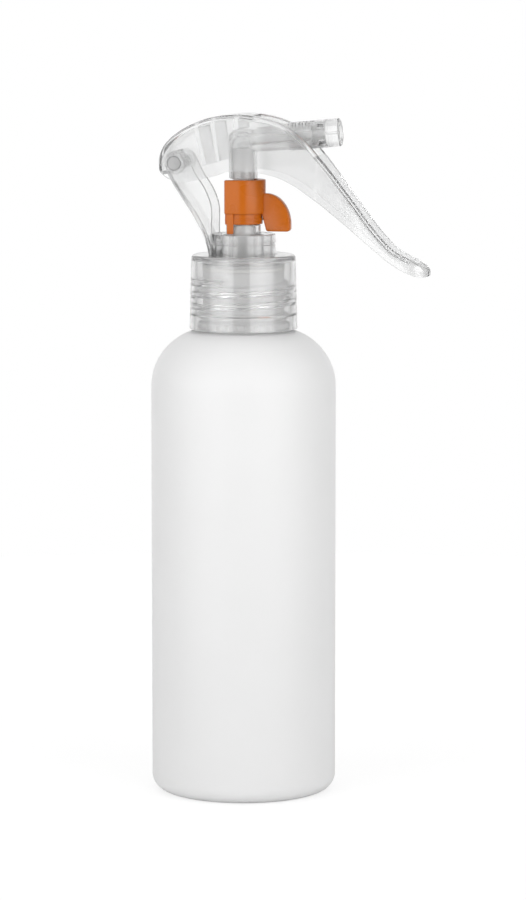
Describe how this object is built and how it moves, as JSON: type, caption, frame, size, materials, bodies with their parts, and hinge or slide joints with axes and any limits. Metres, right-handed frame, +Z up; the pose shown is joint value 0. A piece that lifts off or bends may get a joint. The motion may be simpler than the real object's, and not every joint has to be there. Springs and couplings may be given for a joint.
{
  "type": "trigger spray bottle",
  "caption": "White round spray bottle with a clear screw closure, a rear-hinged clear lever and an orange lock clip; squeezing the lever pushes the spout down and pumps.",
  "frame": {"origin": "centre of the ring the bottle stands on, on the bottle's axis", "axes": "+Z up along the bottle, +X the way it sprays, +Y across"},
  "size_m": [0.0748, 0.049, 0.1806],
  "materials": {
    "white_satin_pe": "satin",
    "clear_pp": "clear gloss",
    "orange_pp": "gloss",
    "natural_pe": "milky translucent",
    "seal_foam": "matte foamed polyethylene",
    "soft_seal": "matte",
    "stainless_wire": "drawn wire",
    "stainless_ball": "polished"
  },
  "bodies": {
    "bottle": {"bottle": "white_satin_pe"},
    "pump_head": {"pump_bracket": "clear_pp", "pivot_pin": "clear_pp", "stem_guide": "clear_pp", "stem_seal": "soft_seal", "pump_cylinder": "natural_pe", "neck_gasket": "seal_foam", "ball_cage": "natural_pe", "dip_tube": "natural_pe", "return_spring": "stainless_wire"},
    "closure": {"screw_closure": "clear_pp"},
    "lever": {"trigger_lever": "clear_pp"},
    "spout": {"spout": "clear_pp", "nozzle_cap": "clear_pp", "swirl_insert": "natural_pe", "upper_stem": "natural_pe", "valve_rod": "natural_pe", "piston": "natural_pe"},
    "clip": {"lock_clip": "orange_pp"},
    "inlet_ball": {"inlet_ball": "stainless_ball"},
    "outlet_ball": {"outlet_ball": "stainless_ball"}
  },
  "joints": [
    {"name": "head_rise", "type": "slide", "parent": "bottle", "child": "pump_head", "axis": [0, 0, 1], "range_m": [0, 0.00634]},
    {"name": "cap_unscrew", "type": "hinge", "parent": "pump_head", "child": "closure", "pos_m": [0, 0, 0.13], "axis": [0, 0, 1], "range_deg": [0, 720]},
    {"name": "lever_pull", "type": "hinge", "parent": "pump_head", "child": "lever", "pos_m": [-0.017, 0, 0.1677], "axis": [0, 1, 0], "range_deg": [0, 17], "stiffness_Nm_per_rad": 0.25, "springref_deg": -19.48},
    {"name": "spout_press", "type": "slide", "parent": "pump_head", "child": "spout", "axis": [0, 0, -1], "range_m": [0, 0.0053], "deforming": ["return_spring"]},
    {"name": "clip_off", "type": "slide", "parent": "pump_head", "child": "clip", "axis": [1, 0, 0], "range_m": [0, 0.008]},
    {"name": "inlet_lift", "type": "slide", "parent": "pump_head", "child": "inlet_ball", "axis": [0, 0, 1], "range_m": [0, 0.0007]},
    {"name": "outlet_lift", "type": "slide", "parent": "spout", "child": "outlet_ball", "axis": [0, 0, 1], "range_m": [0, 0.0009]}
  ],
  "couplings": [
    {"joint": "cap_unscrew", "follows": "head_rise", "rad_per_m": 1979},
    {"joint": "spout_press", "follows": "lever_pull", "m_per_rad": 0.017717}
  ]
}
